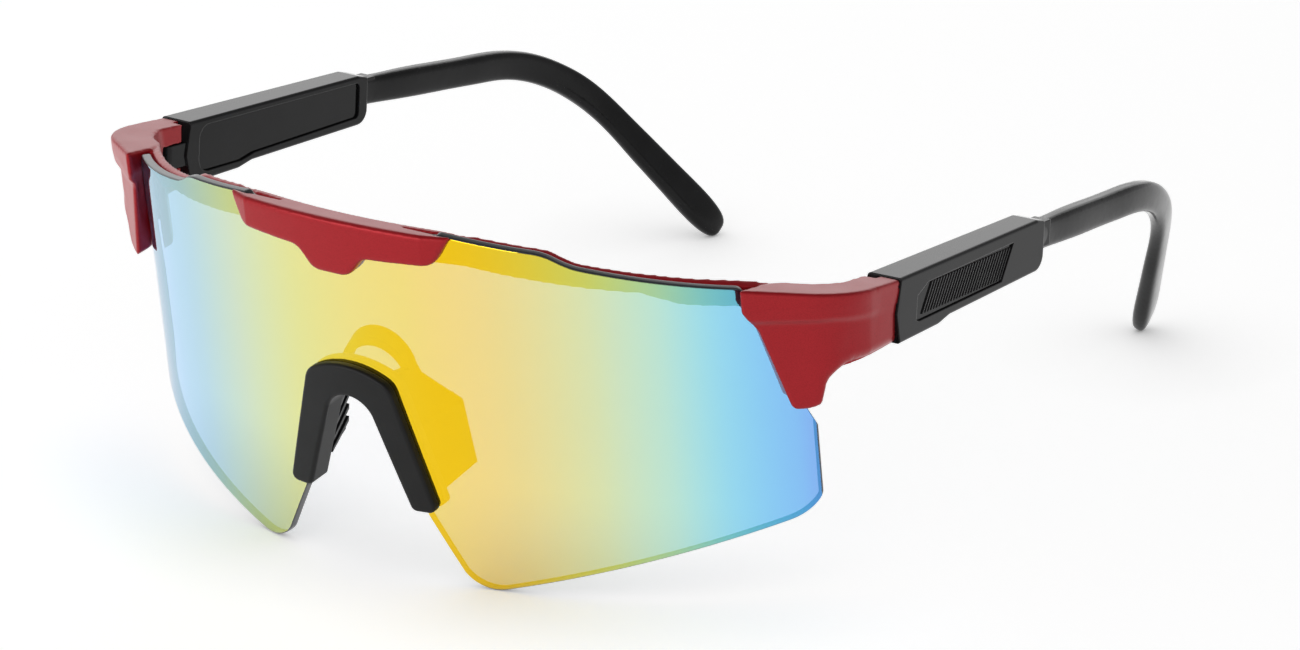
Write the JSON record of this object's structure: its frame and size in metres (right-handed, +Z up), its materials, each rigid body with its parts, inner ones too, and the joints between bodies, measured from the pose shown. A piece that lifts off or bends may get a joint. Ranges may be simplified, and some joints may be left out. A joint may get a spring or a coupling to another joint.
{
  "type": "shield sunglasses",
  "caption": "One-lens sports sunglasses with a mirror-coated shield lens in a brow frame, a rubber nose saddle, and folding temples whose ear arms telescope out of broad sleeves.",
  "frame": {"origin": "middle of the rectangle the glasses stand on, on the table, midway between lens front and arm ends and between the temples", "axes": "+X to the wearer's left, +Y backwards along the temples, +Z up"},
  "size_m": [0.1462, 0.1791, 0.0618],
  "materials": {
    "red_paint": "satin metallic red lacquer on moulded plastic",
    "mirror_lens": "smoked sheet with a rainbow mirror coating on the outer face",
    "black_rubber": "matt soft rubber",
    "black_plastic": "polished black moulding",
    "inlay_black": "deep black ribbed plate",
    "steel": "bright machined steel"
  },
  "bodies": {
    "front": {"front_frame": "red_paint", "lens": "mirror_lens", "nose_piece": "black_rubber", "left_hinge_screw": "steel", "right_hinge_screw": "steel"},
    "left_temple": {"left_sleeve": "black_plastic", "left_sleeve_cover": "black_plastic", "left_inlay": "inlay_black", "left_detent_spring": "steel"},
    "right_temple": {"right_sleeve": "black_plastic", "right_sleeve_cover": "black_plastic", "right_inlay": "inlay_black", "right_detent_spring": "steel"},
    "left_ear_arm": {"left_arm": "black_plastic"},
    "right_ear_arm": {"right_arm": "black_plastic"}
  },
  "joints": [
    {"name": "left_fold", "type": "hinge", "parent": "front", "child": "left_temple", "pos_m": [0.06945, -0.04193, 0.04607], "axis": [-0.0025, 0.0802, 0.9968], "range_deg": [0, 78]},
    {"name": "right_fold", "type": "hinge", "parent": "front", "child": "right_temple", "pos_m": [-0.06945, -0.04193, 0.04607], "axis": [-0.0025, -0.0802, -0.9968], "range_deg": [0, 36]},
    {"name": "left_slide", "type": "slide", "parent": "left_temple", "child": "left_ear_arm", "axis": [-0.0313, 0.9963, -0.0802], "range_m": [0, 0.012]},
    {"name": "right_slide", "type": "slide", "parent": "right_temple", "child": "right_ear_arm", "axis": [0.0313, 0.9963, -0.0802], "range_m": [0, 0.012]}
  ]
}
